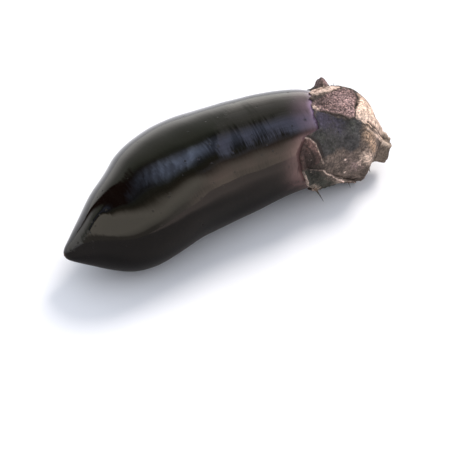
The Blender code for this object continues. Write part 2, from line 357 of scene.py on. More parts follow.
def reach_of_line(along, degrees, points, spread):
    """Distance on the unrolled surface to a line through (along, angle) points."""
    place, knots = laid_flat(along, degrees, points, spread)
    best = np.full(place.shape[:-1], np.inf)
    for start, end in zip(knots, knots[1:]):
        edge = end - start
        share = np.clip((place - start) @ edge / (edge @ edge), 0, 1)
        best = np.minimum(best, np.linalg.norm(place - start - share[..., None] * edge, axis=-1))
    return best


def ridge_along(along, degrees, points, width, spread=SPREAD):
    """1 on a line through (along, angle) points, and less beside it."""
    return np.exp(-((reach_of_line(along, degrees, points, spread) / width) ** 2))


def within(along, degrees, outline, soft, wander):
    """1 inside an outline, 0 outside, easing over `soft` mm; wander moves the edge in or out."""
    place, knots = laid_flat(along, degrees, outline, SPREAD)
    inside = np.zeros(place.shape[:-1], bool)
    for (x0, y0), (x1, y1) in zip(knots, np.roll(knots, -1, 0)):
        crosses = (y0 > place[..., 1]) != (y1 > place[..., 1])
        slope = (x1 - x0) / (y1 - y0) if y1 != y0 else 0.0
        inside ^= crosses & (place[..., 0] < x0 + slope * (place[..., 1] - y0))
    reach = reach_of_line(along, degrees, (*outline, outline[0]), SPREAD)
    return eased(np.where(inside, reach, -reach) + wander, -soft / 2, soft / 2)


def spots(along, degrees, table):
    """Soft round spots: the greatest share that any of the (along, angle, reach, share) rows gives."""
    share = np.zeros(along.shape)
    for place, turn, reach, most in table:
        away = unrolled(along - place, near_to(degrees - turn, 0))
        share = np.maximum(share, most * np.exp(-(away**2).sum(-1) / reach**2))
    return share


def on_the_surface(points):
    """Presses whatever would be below the surface flat against it, with a soft edge."""
    flat = points.copy()
    height = points[..., 2]
    flat[..., 2] = (height + np.sqrt(height * height + SOFT_CONTACT**2)) / 2
    return flat


def fruit_surface(along, angle, swell=0.0):
    out = half_thickness(FRUIT_GIRTH, along) * (1 - OVALNESS * np.cos(2 * angle)) + swell
    return around_middle(along, out, angle)


def calyx_inside(along):
    """How far out the calyx starts, just clear of the skin."""
    return half_thickness(FRUIT_GIRTH, along) * (1 + OVALNESS) + GAP


def calyx_outside(along):
    return half_thickness(CALYX_OUTSIDE, along) - CROWN_DROP * eased(along, CROWN_ALONG - 2.4, CROWN_ALONG)


@functools.cache
def origin_on_tables():
    """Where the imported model's origin lies on the tables' axes: the fruit's box tells."""
    surface = fruit_surface(np.linspace(0, FRUIT_END, 400)[:, None], angles(360)).reshape(-1, 3)
    low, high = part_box("fruit")
    centre = (surface.min(0) + surface.max(0)) / 2 - np.array(low + high) / 2 / MM
    return np.array([centre[0], centre[1], 0.0])


def stand_in_scene(name, data):
    thing = bpy.data.objects.new(name, data)
    bpy.context.scene.collection.objects.link(thing)
    return thing


def add_piece(name, rings, poles, values, finish, node):
    """Closes rings of points (on the tables' axes) into one body, with a single point at each end, hands over
    the values at its points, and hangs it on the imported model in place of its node."""
    count, sides = rings.shape[:2]
    points = (np.concatenate([rings.reshape(-1, 3), np.array(poles)]) - origin_on_tables()) * MM
    ring, side = np.ogrid[: (count - 1) * sides : sides, :sides]
    after = (side + 1) % sides
    corners = [ring + sides + side, ring + sides + after, ring + after, ring + side]
    faces = np.stack(corners, -1).reshape(-1, 4).tolist()
    last_ring, first_pole, last_pole = (count - 1) * sides, count * sides, count * sides + 1
    pairs = [(here, (here + 1) % sides) for here in range(sides)]
    faces += [(here, there, first_pole) for here, there in pairs]
    faces += [(last_ring + there, last_ring + here, last_pole) for here, there in pairs]
    mesh = bpy.data.meshes.new(name)
    mesh.from_pydata(points.tolist(), [], faces)
    mesh.shade_smooth()
    for key, value in values.items():
        value = np.broadcast_to(value, (count, sides, *value.shape[2:]))
        ends = np.stack([value[0].mean(0), value[-1].mean(0)])
        flat = np.concatenate([value.reshape(-1, *value.shape[2:]), ends])
        kind, field = ("FLOAT_VECTOR", "vector") if flat.ndim == 2 else ("FLOAT", "value")
        layer = mesh.attributes.new(key, kind, "POINT")
        layer.data.foreach_set(field, flat.astype(np.float32).ravel())
    mesh.validate()
    mesh.materials.append(finish)
    piece = stand_in_scene(name, mesh)
    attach(piece, "root")
    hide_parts(node)


class Signal:
    """What a node gives out. It can be added, multiplied and so on like a number."""

    def __init__(self, recipe, socket):
        self.recipe = recipe
        self.socket = socket

    def math(self, operation, other):
        return self.recipe.add("ShaderNodeMath", 0, {0: self, 1: other}, operation=operation)

    def __add__(self, other):
        return self.math("ADD", other)

    def __sub__(self, other):
        return self.math("SUBTRACT", other)

    def __mul__(self, other):
        return self.math("MULTIPLY", other)

    def at_least(self, other):
        return self.math("MAXIMUM", other)

    def at_most(self, other):
        return self.math("MINIMUM", other)

    def span(self, low, high, low_to=0.0, high_to=1.0):
        """Eases from low_to at low to high_to at high, and stays there past either."""
        sockets = {"Value": self, "From Min": low, "From Max": high, "To Min": low_to, "To Max": high_to}
        return self.recipe.add("ShaderNodeMapRange", "Result", sockets, interpolation_type="SMOOTHSTEP")

    def tinted(self, tone, share=1.0):
        return self.recipe.blend(share, self, tone, "MULTIPLY")


class Recipe:
    """Nodes of one material or of the sky, joined as they are added."""

    def __init__(self, tree):
        self.tree = tree
        tree.nodes.clear()

    def add(self, kind, output, sockets=(), **settings):
        """Adds a node, joins or sets its sockets, and gives what comes out of one of them."""
        node = self.tree.nodes.new(kind)
        for key, value in settings.items():
            setattr(node, key, value)
        for key, value in dict(sockets).items():
            socket = node.inputs[key]
            if isinstance(value, Signal):
                self.tree.links.new(value.socket, socket)
            else:
                socket.default_value = (*value, 1) if socket.type == "RGBA" else value
        return Signal(self, node.outputs[output]) if output is not None else node

    def values(self, *names, output="Fac"):
        """Values that the mesh brings at its points."""
        return [self.add("ShaderNodeAttribute", output, attribute_name=name) for name in names]

    def parts(self, vector):
        node = self.add("ShaderNodeSeparateXYZ", None, {"Vector": vector})
        return [Signal(self, part) for part in node.outputs]

    def blend(self, share, first, second, how="MIX"):
        """From the first colour to the second: the colour sockets of a Mix node are 6, 7 and 2."""
        sockets = {0: share, 6: first, 7: second}
        return self.add("ShaderNodeMix", 2, sockets, data_type="RGBA", blend_type=how, clamp_factor=True)

    def ramp(self, value, stops):
        node = self.add("ShaderNodeValToRGB", None, {"Fac": value})
        row = node.color_ramp.elements
        row.remove(row[-1])
        row[0].position, row[0].color = stops[0][0], (*stops[0][1], 1)
        for place, tone in stops[1:]:
            row.new(place).color = (*tone, 1)
        return Signal(self, node.outputs["Color"])

    def noise(self, place, scale, detail=3.0, roughness=0.55):
        sockets = {"Vector": place, "Scale": scale, "Detail": detail, "Roughness": roughness}
        return self.add("ShaderNodeTexNoise", "Fac", sockets)

    def cells(self, place, scale):
        """How far from its cell's middle each place lies, and a chance value for each cell."""
        node = self.add("ShaderNodeTexVoronoi", None, {"Vector": place, "Scale": scale})
        return Signal(self, node.outputs["Distance"]), Signal(self, node.outputs["Color"])

    def bump(self, height, strength, distance, after=None):
        sockets = {"Height": height, "Strength": strength, "Distance": distance}
        if after:
            sockets["Normal"] = after
        return self.add("ShaderNodeBump", "Normal", sockets)


class Finish(Recipe):
    """Nodes of one material."""

    def __init__(self, name):
        self.material = bpy.data.materials.new(name)
        self.material.use_nodes = True
        super().__init__(self.material.node_tree)
        self.place = self.add("ShaderNodeTexCoord", "Object")

    def surface(self, colour, roughness, **sockets):
        sockets = {"Base Color": colour, "Roughness": roughness, **sockets}
        shader = self.add("ShaderNodeBsdfPrincipled", "BSDF", sockets)
        self.add("ShaderNodeOutputMaterial", None, {"Surface": shader})
        return self.material


def skin_finish(look):
    """Waxy, almost black skin: red-brown toward the calyx and lilac on top beside it, partly paler skin and
    partly painted highlight, with pores, dust and a corky scar.
    """
    nodes = Finish("eggplant_skin")
    (around,) = nodes.values("around", output="Vector")
    neck, lilac, specks, scar = nodes.values("neck", "lilac", "speck", "scar")
    colour = nodes.blend(nodes.noise(nodes.place, 40, 4).span(0.35, 0.7), look.colour, look.warm_colour)
    patchy = nodes.noise(nodes.place, 90).span(0.3, 0.7, 0.8, 1.2)
    colour = nodes.blend(neck * patchy, colour, look.neck_colour)
    # The lilac is partly paler skin by the calyx and partly a painted highlight on the top side.
    colour = nodes.blend(lilac * patchy, colour, look.lilac_and_highlight_colour)
    streaks = nodes.noise(around, 9, 5, 0.6).span(0.5, 0.72)
    colour = nodes.blend(streaks * 0.35, colour, look.dust_colour)
    to_pore, chance = nodes.cells(nodes.place, 190)
    pores = to_pore.span(0.15, 0.05) * chance.span(0.62, 0.66)
    specks = pores.at_least(specks)
    colour = nodes.blend(specks, colour, look.speck_colour)
    colour = nodes.blend(scar, colour, look.scar_colour)
    smears = nodes.noise(around, 6, 5, 0.6).span(0.35, 0.7, look.gloss * 0.6, look.gloss * 2.2)
    rough = smears + scar.at_least(specks) * 0.5
    normal = nodes.bump(nodes.noise(around, 5, 2), 0.10, 0.0004)
    normal = nodes.bump(nodes.noise(nodes.place, 1500, 2), 0.02, 0.00008, normal)
    normal = nodes.bump(pores * -1, 0.2, 0.0003, normal)
    return nodes.surface(colour, rough, IOR=1.38, Normal=normal)


def calyx_finish(look):
    """Dry, pebbled flesh: each area of the calyx has its own tone, under grains and flecks, with painted
    shade in the seams and hollows and painted highlights on the crests.
    """
    nodes = Finish("calyx_flesh")
    grainy, tone_and_painted_light, seam, crest = nodes.values("grainy", "tone_and_painted_light", "seam", "crest")
    mottle = nodes.noise(nodes.place, 200, 5, 0.65)
    blur = nodes.noise(nodes.place, 520, 4, 0.7).span(0.3, 0.7, -0.22, 0.22)
    colour = nodes.blend(mottle.span(0.3, 0.7), look.flesh, look.flesh_dark)
    for area in ("slate", "violet", "green", "rosy", "tan", "rust", "ochre", "pale"):
        (share,) = nodes.values(area)
        share = share + blur * share.span(0.0, 0.3)
        colour = nodes.blend(share.span(0.08, 0.92), colour, getattr(look, area))
    to_grain, _ = nodes.cells(nodes.place, 950)
    # Painted highlight on the grain tops and painted shade in the gaps between grains.
    colour = colour.tinted((1.9, 1.8, 1.75), to_grain.span(0.5, 0.15) * grainy * 0.8)
    colour = colour.tinted((0.25, 0.22, 0.21), to_grain.span(0.45, 0.8) * (grainy + 0.3) * 0.6)
    # The tone map multiplies in painted light and shade together with the flesh's own patches.
    colour = colour.tinted(nodes.noise(nodes.place, 620, 5, 0.7).span(0.33, 0.67, 0.6, 1.4)).tinted(tone_and_painted_light)
    # Painted shade: hollows and clefts are darkened with the seam colour.
    colour = nodes.blend(seam, colour, look.seam)
    # Painted highlight: raised crests are lightened and flecked pale.
    colour = colour.tinted((1.8, 1.7, 1.65), crest * grainy)
    colour = nodes.blend(nodes.noise(nodes.place, 900).span(0.62, 0.7) * crest * 0.7, colour, look.pale)
    normal = nodes.bump(to_grain, 0.5, 0.0004)
    normal = nodes.bump(nodes.noise(nodes.place, 620, 5, 0.6), 0.8, 0.0006, normal)
    return nodes.surface(colour, mottle.span(0.3, 0.7, 0.68, 0.9), IOR=1.4, Normal=normal)


def stem_finish(look):
    """Woody bark with lighter ridges and painted shade in the grooves, and a cut face with bark, a woody ring
    and pale pith.
    """
    nodes = Finish("stem_wood")
    (lengthwise,) = nodes.values("lengthwise", output="Vector")
    crest, seam, from_pith, on_cut = nodes.values("crest", "seam", "from_pith", "cut")
    fibres = nodes.noise(lengthwise, 22, 5, 0.6)
    bark = nodes.blend(fibres.span(0.35, 0.65), look.bark_dark, look.bark)
    bark = nodes.blend(crest, bark, look.ridge)
    # Painted shade in the grooves between the ridges.
    bark = nodes.blend(seam, bark, look.seam)
    stops = (0, look.pith), (0.36, look.pith), (0.5, look.wood), (0.8, look.wood), (0.92, look.bark_dark)
    cut = nodes.ramp(from_pith, stops)
    cut = nodes.blend(nodes.noise(nodes.place, 1300, 4).span(0.4, 0.7, 0, 0.5), cut, look.bark)
    colour = nodes.blend(on_cut, bark, cut)
    colour = colour.tinted(nodes.noise(nodes.place, 800, 4).span(0.3, 0.7, 0.65, 1.3))
    normal = nodes.bump(fibres, 0.6, 0.0005)
    normal = nodes.bump(nodes.noise(nodes.place, 1100, 4), 0.6, 0.0004, normal)
    return nodes.surface(colour, fibres.span(0.3, 0.7, 0.65, 0.88), IOR=1.4, Normal=normal)


def prickle_finish(look):
    """Horny prickles: brown at the root, dark grey to the point."""
    nodes = Finish("prickle_horn")
    (toward_point,) = nodes.values("toward_point")
    colour = nodes.blend(toward_point, look.prickle_root, look.prickle_point)
    colour = colour.tinted(nodes.noise(nodes.place, 1800).span(0.3, 0.7, 0.7, 1.3))
    rough = nodes.noise(nodes.place, 900).span(0.3, 0.7, 0.4, 0.6)
    return nodes.surface(colour, rough, Normal=nodes.bump(nodes.noise(nodes.place, 2600), 0.4, 0.0001))


def round_dot(skin, along, angle, core, edge):
    """1 within `core` mm of a place on the skin, 0 past `edge`."""
    heart = fruit_surface(np.array([along]), np.array([angle]))[0]
    return 1 - eased(np.linalg.norm(skin - heart, axis=-1), core, edge)


def grow_fruit(look):
    along = FRUIT_END * (1 - np.cos(np.linspace(0, math.pi / 2, FRUIT_RINGS)))[1:-1, None]
    angle = angles(FRUIT_SIDES)[None, :]
    degrees = np.degrees(angle)
    skin = fruit_surface(along, angle)
    swell = look.waviness / MM * (hills(skin, 46, 3) + 0.45 * hills(skin, 17, 4))
    swell *= 1 - eased(along, *WAVES_END)
    scar = 1 - eased(along + 0.25 * hills(skin, 2.0, 5), 0.1, 0.55)
    swell = swell * eased(along, 0.5, 9) + scar * 0.12 * hills(skin, 0.8, 6)
    speck = np.zeros(skin.shape[:2])
    draw = np.random.default_rng(11)
    for start, end, many in SPECKS:
        for _ in range(many):
            at, turn = draw.uniform(start, end), draw.uniform(0, 2 * math.pi)
            radius = draw.uniform(*SPECK_RADIUS)
            speck = np.maximum(speck, round_dot(skin, at, turn, radius * 0.55, radius * 1.25))
    swell -= SPECK_DEPTH * speck
    for at, turn, radius in MARKS:
        speck = np.maximum(speck, round_dot(skin, at, math.radians(turn), radius * 0.3, radius * 1.2))
    rings = on_the_surface(fruit_surface(along, angle, swell))
    (rim,) = round_the_neck(RIM, angle[0])
    behind_rim = rim - along
    # Lilac lies only on the top side, where the light falls: partly paler skin, partly painted highlight.
    upper = beside(degrees, 95, 38, 62)
    lilac = 0.2 * (1 - eased(behind_rim, 0, 18)) + 0.85 * (1 - eased(behind_rim, 0.2, 4.4))
    thick = half_thickness(FRUIT_GIRTH, along) * STREAK_PACE[1]
    around = np.broadcast_arrays(along * STREAK_PACE[0], np.cos(angle) * thick, np.sin(angle) * thick)
    values = {
        "neck": (1 - eased(behind_rim, -2, 26)) ** 3 * (1 - 0.6 * upper),
        "lilac": lilac * upper * (1 - 0.55 * eased(degrees, 62, 92)),
        "speck": speck,
        "scar": scar,
        "around": np.stack(around, -1),
    }
    poles = (on_the_surface(middle(0.0)), middle(FRUIT_END))
    add_piece("fruit_skin", rings, poles, values, skin_finish(look), "fruit")


def calyx_relief(along, degrees, points, pebble):
    """How far the calyx's outside stands out from its plain form, and how each area looks."""
    wander = 0.5 * hills(points, 5.0, 21)
    on_top = within(along, degrees, SEPAL_ON_TOP, 0.9, wander * 0.5)
    shoulder = within(along, degrees, SHOULDER, 1.6, wander)
    in_front = within(along, degrees, SEPAL_IN_FRONT, 5.0, wander * 1.5)
    rusty = within(along, degrees, RUSTY_FOLD, 1.4, wander * 0.5)
    margin = within(along, degrees, MARGIN_ON_TOP, 2.2, wander)
    lines = np.zeros(along.shape)
    drawn = {tone: np.zeros(along.shape) for tone in ("pale", "tan", "seam")}
    for number, (height, width, tone, course) in enumerate(LINES):
        ridge = ridge_along(along, degrees, course, width)
        lines += height * ridge * (1 + 0.25 * hills(points, 4.0, 30 + number))
        if tone:
            drawn[tone] = np.maximum(drawn[tone], ridge)
    tints = {name: spots(along, degrees, table) for name, table in TINTS.items()}
    grainy = 0.3 + 0.7 * on_top + 0.2 * shoulder + 0.6 * tints["ochre"] - 0.2 * in_front
    grainy = grainy * (1 - 0.8 * drawn["tan"])
    swell = lines + 1.25 * on_top + 0.55 * margin + 0.9 * rusty - 0.45 * in_front
    swell += 0.35 * hills(points, 11, 22) + 0.16 * hills(points, 4.2, 23)
    swell += pebble * (grainy * (0.5 * grains(points, 2.4, 1) + grains(points, 1.35, 2)) - 0.5)
    drawn_out = np.stack([along * 0.4, degrees * SPREAD, 0 * along], -1)
    streaks = hills(drawn_out, 1.7, 25) + 0.7 * hills(drawn_out, 3.6, 26)
    tone_and_painted_light = 0.16 * streaks * (0.4 + 0.6 * in_front) + 0.12 * hills(points, 5.5, 27)
    # SHADES paints light and shade over the flesh's own streaks and patches.
    for place, turn, reach, times in SHADES:
        tone_and_painted_light = tone_and_painted_light + math.log(times) * spots(along, degrees, ((place, turn, reach, 1.0),))
    areas = {
        "slate": in_front * (1 - on_top),
        "violet": tints["violet"] * in_front * (1 - on_top),
        "rosy": np.maximum(0.85 * on_top, tints["rosy"]),
        "tan": np.maximum.reduce([shoulder * (1 - on_top), tints["tan"], 0.9 * drawn["tan"]]),
        "rust": rusty,
        "ochre": tints["ochre"],
        "green": tints["green"] * (1 - on_top),
        "pale": np.maximum.reduce([0.8 * margin, 0.45 * drawn["pale"], tints["pale"]]),
        # Painted shade along the clefts of the seam lines.
        "seam": drawn["seam"],
        "grainy": grainy,
        "tone_and_painted_light": np.exp(tone_and_painted_light),
    }
    return swell, areas


def calyx_path(rim, length, lift, thickness):
    """The way from inside the cap round the rim, out and back along the turned-back edge, then over the
    shoulder to the crown, at every angle. Each step has its place, its distance out, its zone and its share
    of the turned-back edge."""
    path = []

    def step(along, out, zone, share=0.0):
        path.append((along, out, zone, share))

    neck_end = FRUIT_END + GAP
    for share in (0.03, 0.15, 0.35, 0.6, 0.8, 0.93, 1):
        along = neck_end + (rim - neck_end) * share
        step(along, calyx_inside(along - GAP), "inside")
    crest = calyx_outside(rim) + lift + thickness
    low = calyx_inside(rim)
    for lean in np.radians(np.linspace(-70, 70, 9)):
        step(rim - FOLD_BULGE * math.cos(lean), (low + crest) / 2 + (crest - low) / 2 * math.sin(lean), "rim")
    for share in np.linspace(0, 0.97, 46):
        along = rim + length * share
        hump = 0.5 * math.sin(math.pi * share) * eased(length, *FOLD_STARTS)
        step(along, calyx_outside(along) + lift + thickness + hump, "fold", share)
    tip = rim + length
    for lean in np.radians((-50, -20, 10, 40, 70)):
        out = calyx_outside(tip) + lift + 0.5 * thickness * (1 - math.sin(lean))
        step(tip + 0.4 * thickness * math.cos(lean), out, "tip", 1.0)
    crease = rim + CREASE
    for share in np.linspace(0.96, 0, 12):
        along = crease + (length - CREASE) * share
        step(along, calyx_outside(along) + lift, "under")
    step(rim, calyx_outside(crease) + lift / 2, "under")
    step(crease, calyx_outside(crease), "under")
    shoulder = np.maximum(crease + 0.5, SHOULDER_FROM)
    for start, end, many in ((crease, shoulder, 54), (shoulder, CROWN_ALONG, 51)):
        for share in np.linspace(0, 1, many + 1)[1:]:
            along = start + (end - start) * share
            step(along, calyx_outside(along), "outside")
    along, out, zone, share = zip(*path)
    return np.array(along), np.array(out), np.array(zone)[:, None], np.array(share)[:, None]


def hollows(height):
    """How far each place lies below those around it."""
    around = height.copy()
    for _ in range(3):
        for axis in (0, 1):
            around = (np.roll(around, 1, axis) + around + np.roll(around, -1, axis)) / 3
    return around - height


def grow_calyx(look):
    """A cap on the neck, with pebbled flesh and a turned-back edge."""
    angle = angles(CALYX_SIDES)
    degrees = np.degrees(angle)
    (rim,) = round_the_neck(RIM, angle)
    length, lift, thickness = round_the_neck(TURNED_BACK, angle)
    on_knob = eased(degrees, KNOB[0], KNOB[0] + 9) * (1 - eased(degrees, KNOB[1] - 9, KNOB[1]))
    lift = lift * (1 - 0.9 * on_knob)
    thickness = thickness * (1 - 0.6 * on_knob)
    at_rim = around_middle(rim, half_thickness(CALYX_OUTSIDE, rim), angle)
    rim = rim + 0.45 * hills(at_rim, 6.5, 41) + 0.2 * hills(at_rim, 2.6, 42)
    length = length + eased(length, 2, 8) * (0.35 * hills(at_rim, 9.0, 43) + 0.12 * hills(at_rim, 2.4, 44))
    folded = eased(length, *FOLD_STARTS)
    along, out, zone, share = calyx_path(rim, length, lift, thickness)
    degrees = np.broadcast_to(degrees, along.shape)
    plain = around_middle(along, out, angle)
    pebble = look.pebbles / MM
    swell, areas = calyx_relief(along, degrees, plain, pebble)

    outside = (zone == "outside") * eased(along, rim + length + 0.3, rim + length + 2.2)
    outside = outside * (1 - 0.7 * eased(along, CROWN_ALONG - 3, CROWN_ALONG))
    leaf = (zone == "fold") * folded
    near_rim = (zone == "rim") + (zone == "fold") * (1 - folded)
    from_rim, to_tip = share * length, (1 - share) * length
    margin = leaf * (1 - eased(to_tip, 0.6, 2.4)) * (1 - on_knob)
    leaf_swell = pebble * (0.3 + 0.6 * share) * (grains(plain, 2.1, 7) - 0.4) * (1 - 0.5 * on_knob)
    leaf_swell += 0.3 * hills(plain, 8, 51) + 0.14 * hills(plain, 3, 52) + 0.3 * margin
    leaf_swell *= eased(from_rim, 0, 1.5) * eased(to_tip, 0, 0.8)
    leaf_swell += KNOB_PEAK * on_knob * (1 - np.minimum(np.abs((share - 0.5) / 0.48), 1) ** 2)
    relief = outside * swell + leaf * leaf_swell + near_rim * 0.12 * hills(plain, 2.2, 53)
    least = calyx_inside(np.minimum(along, FRUIT_END - 0.5)) + LEAST_FLESH
    room = out + relief - least
    room = np.where(zone == "outside", (room + np.sqrt(room * room + 0.02)) / 2, room)
    rings = on_the_surface(around_middle(along, least + room, angle))

    shown = zone != "inside"
    cover = folded * outside + (1 - folded) * shown
    knob = on_knob * leaf
    leaf = leaf * (1 - knob)
    # Painted light: the lower part of the turned-back edge and the rim under it are lightened, as if lit from
    # the floor below.
    below = eased(-near_to(degrees, 0), 10, 20) * (1 - eased(from_rim, 2.0, 10.0))
    painted_light_under_rim = near_rim * beside(degrees, -20, 22, 30)
    grown = {
        "grainy": 0.3 + 0.4 * knob,
        "tone_and_painted_light": areas["tone_and_painted_light"],
        "green": 0.9 * leaf * (1 - eased(share, 0.5, 1.0)),
        "rosy": 0.8 * knob,
        # Painted light: a tan glow low on the turned-back edge, and pale on the rim under it.
        "tan": 0.34 * leaf * below,
        "pale": np.maximum(0.5 * margin, 0.5 * painted_light_under_rim),
    }
    areas = {key: value * cover + grown.get(key, 0.0) * (1 - cover) * shown for key, value in areas.items()}
    # Painted shade: places lower than those around them are darkened.
    hollow = hollows(least + room) * ((zone == "outside") | (zone == "fold"))
    areas["seam"] = 0.85 * np.maximum(eased(hollow, 0.05, 0.35), areas["seam"])
    # Painted highlight on the crests that stand above those around them.
    areas["crest"] = eased(-hollow, 0.03, 0.2)
    poles = (middle(FRUIT_END + GAP), middle(CROWN_ALONG))
    add_piece("calyx_flesh", rings, poles, areas, calyx_finish(look), "calyx")


def grow_prickles(look):
    """Slender, slightly bent prickles that widen into the flesh."""
    finish = prickle_finish(look)
    share = np.linspace(0, 1, PRICKLE_RINGS)[:, None]
    around = angles(PRICKLE_SIDES)[None, :]
    for number, (along, degrees, length, radius, lean) in enumerate(PRICKLES):
        angle = np.radians([degrees])
        (rim,) = round_the_neck(RIM, angle)[:, 0]
        length_back, lift, thickness = round_the_neck(TURNED_BACK, angle)[:, 0]
        on_fold = along < rim + length_back
        surface = half_thickness(CALYX_OUTSIDE, along) + on_fold * (lift + thickness)
        foot = around_middle(along, surface - PRICKLE_ROOT, angle[0])
        point = around_middle(along + lean, surface + length, angle[0])
        course = point - foot
        side = np.cross(course, ANY_WAY)
        side /= np.linalg.norm(side)
        other = np.cross(side, course)
        other /= np.linalg.norm(other)
        thick = 0.12 + 0.88 * (1 - share) ** PRICKLE_TAPER + 0.55 * np.exp(-((share / 0.1) ** 2))
        thick = radius * thick * np.where(share > 0.97, 0.6, 1)
        bow = PRICKLE_BOW * length * np.sin(math.pi * share) * (1 if number % 2 else -1)
        rings = foot + share[..., None] * course + bow[..., None] * side
        rings = rings + (thick * np.cos(around))[..., None] * side
        rings = rings + (thick * np.sin(around))[..., None] * other
        values = {"toward_point": eased(share, 0.15, 0.5)}
        add_piece(f"prickle_{number}", rings, (foot, point), values, finish, "calyx")


def grow_stem(look):
    """The ridged stub, which starts inside the crown, and its cut face."""
    angle = angles(STEM_SIDES)[None, :]
    cut = STEM_GIRTH[-1][0] - CUT_SLANT * (1 + np.cos(angle - math.radians(CUT_SHORT_SIDE))) / 2
    edge = cut - CUT_EDGE
    turns = np.linspace(0.2, 1.5, 7)[:, None]
    share = np.linspace(0, 1, STEM_RINGS)[:, None]
    stations = np.concatenate([STEM_FOOT + (edge - STEM_FOOT) * share, edge + CUT_EDGE * np.sin(turns)])
    thinner = np.concatenate([0 * share, CUT_EDGE * (1 - np.cos(turns))])
    out = half_thickness(STEM_GIRTH, stations) - thinner
    plain = around_middle(stations, out, angle)
    swell = STEM_RIDGE_HEIGHT * np.cos(STEM_RIDGES * angle)
    swell = swell + 0.3 * hills(plain, 5, 61) + 0.12 * hills(plain, 1.8, 62)
    crest = np.zeros(swell.shape)
    for height, width, course in STEM_LINES:
        ridge = ridge_along(stations, np.degrees(angle), course, width, STEM_SPREAD)
        swell = swell + height * ridge
        if height > STEM_CREST:
            crest = np.maximum(crest, ridge)
    sides = around_middle(stations, out + swell, angle)
    last = sides[-1]
    heart = last.mean(0)
    ahead = middle(204.0) - middle(203.0)
    inward = np.linspace(0, 1, 26)[1:-1, None]
    face = []
    for share in inward:
        ring = last + (heart - last) * share
        ring = ring + np.array(SAW_SLANT) * hills(ring, 2.0, 63)[..., None]
        face.append(ring - PITH_HOLLOW * eased(share, 0.55, 0.75) * ahead)
    rings = np.concatenate([sides, np.array(face)])
    count = len(stations)
    bare = np.zeros((len(inward), STEM_SIDES))
    stations = np.concatenate([stations, bare + cut])
    lengthwise = np.broadcast_arrays(stations * FIBRE_PACE, np.cos(angle), np.sin(angle))
    values = {
        "cut": np.concatenate([np.zeros((count - 4, 1)), np.linspace(0.3, 1, 4)[:, None], 0 * inward + 1]),
        "from_pith": np.concatenate([np.ones((count, 1)), 1 - inward]),
        "crest": 0.95 * np.concatenate([crest, bare]),
        # Painted shade where the stem sinks between its ridges.
        "seam": 0.8 * eased(-np.concatenate([swell, bare]), 0.35, 0.95),
        "lengthwise": np.stack(lengthwise, -1),
    }
    poles = (middle(STEM_FOOT), rings[-1].mean(0))
    add_piece("stem_stub", rings, poles, values, stem_finish(look), "stem")


def paint(name, description, default):
    return bpy.props.FloatVectorProperty(
        name=name, description=description, subtype="COLOR", size=3, min=0, max=1, default=default
    )


def number(name, description, default, **settings):
    return bpy.props.FloatProperty(name=name, description=description, default=default, **settings)


def bearing(name, description, degrees):
    return number(name, description, math.radians(degrees), subtype="ANGLE")


class FruitLook(bpy.types.PropertyGroup):
    colour: paint("Skin", "Colour of the skin over most of the fruit", (0.0021, 0.0014, 0.0011))
    warm_colour: paint("Skin patches", "Browner patches in the skin", (0.0040, 0.0025, 0.0019))
    neck_colour: paint("Neck", "Red-brown of the skin near the calyx", (0.165, 0.095, 0.088))
    # Partly paler skin and partly painted highlight on the top side.
    lilac_and_highlight_colour: paint("Lilac", "Lilac skin on top, beside the calyx", (0.34, 0.235, 0.36))
    dust_colour: paint("Streaks", "Dusty streaks that run round the fruit", (0.007, 0.006, 0.0055))
    speck_colour: paint("Specks", "Pores and small marks", (0.004, 0.003, 0.003))
    scar_colour: paint("Scar", "Corky scar at the blossom tip", (0.09, 0.055, 0.035))
    gloss: number("Skin roughness", "Lower is glossier", 0.05, subtype="FACTOR", min=0, max=1)
    waviness: number("Waviness", "How far the skin swells and sinks", 0.00016, unit="LENGTH")


class CalyxLook(bpy.types.PropertyGroup):
    flesh: paint("Flesh", "Brown of most of the calyx", (0.140, 0.104, 0.084))
    flesh_dark: paint("Dark flesh", "Darker mottling", (0.070, 0.054, 0.045))
    slate: paint("Front sepal", "Smooth sepal in front", (0.044, 0.041, 0.040))
    violet: paint("Violet bloom", "Bluish patches on the front sepal", (0.048, 0.041, 0.062))
    rosy: paint("Pebbled sepal", "Pinkish brown sepal on top", (0.178, 0.122, 0.117))
    tan: paint("Shoulder", "Dry, tan shoulder under the stem", (0.64, 0.48, 0.38))
    rust: paint("Turned edge", "Reddish edge at the front", (0.120, 0.070, 0.060))
    ochre: paint("Stem foot", "Ochre flesh where the stem starts", (0.31, 0.215, 0.148))
    green: paint("Inner side", "Dark green inner side of a folded sepal", (0.034, 0.036, 0.028))
    pale: paint("Margins", "Pale margins of the sepals", (0.62, 0.47, 0.39))
    # Painted shade for the hollows and clefts of the calyx.
    seam: paint("Seams", "Dark seams between grains", (0.020, 0.013, 0.011))
    prickle_root: paint("Prickle root", "Brown foot of a prickle", (0.10, 0.06, 0.035))
    prickle_point: paint("Prickle point", "Dark point of a prickle", (0.04, 0.037, 0.035))
    pebbles: number("Pebbles", "Height of the grains on the flesh", 0.00055, unit="LENGTH")


class StemLook(bpy.types.PropertyGroup):
    bark: paint("Bark", "Brown of the stem", (0.20, 0.15, 0.112))
    bark_dark: paint("Dark bark", "Fibres and the bark's edge", (0.085, 0.064, 0.050))
    ridge: paint("Ridges", "Light, dry ridges", (0.60, 0.46, 0.36))
    # Painted shade for the grooves of the stem.
    seam: paint("Grooves", "Dark grooves between ridges", (0.03, 0.02, 0.015))
    wood: paint("Wood", "Woody ring of the cut face", (0.42, 0.33, 0.20))
    pith: paint("Pith", "Pith in the middle of the cut face", (0.52, 0.46, 0.32))


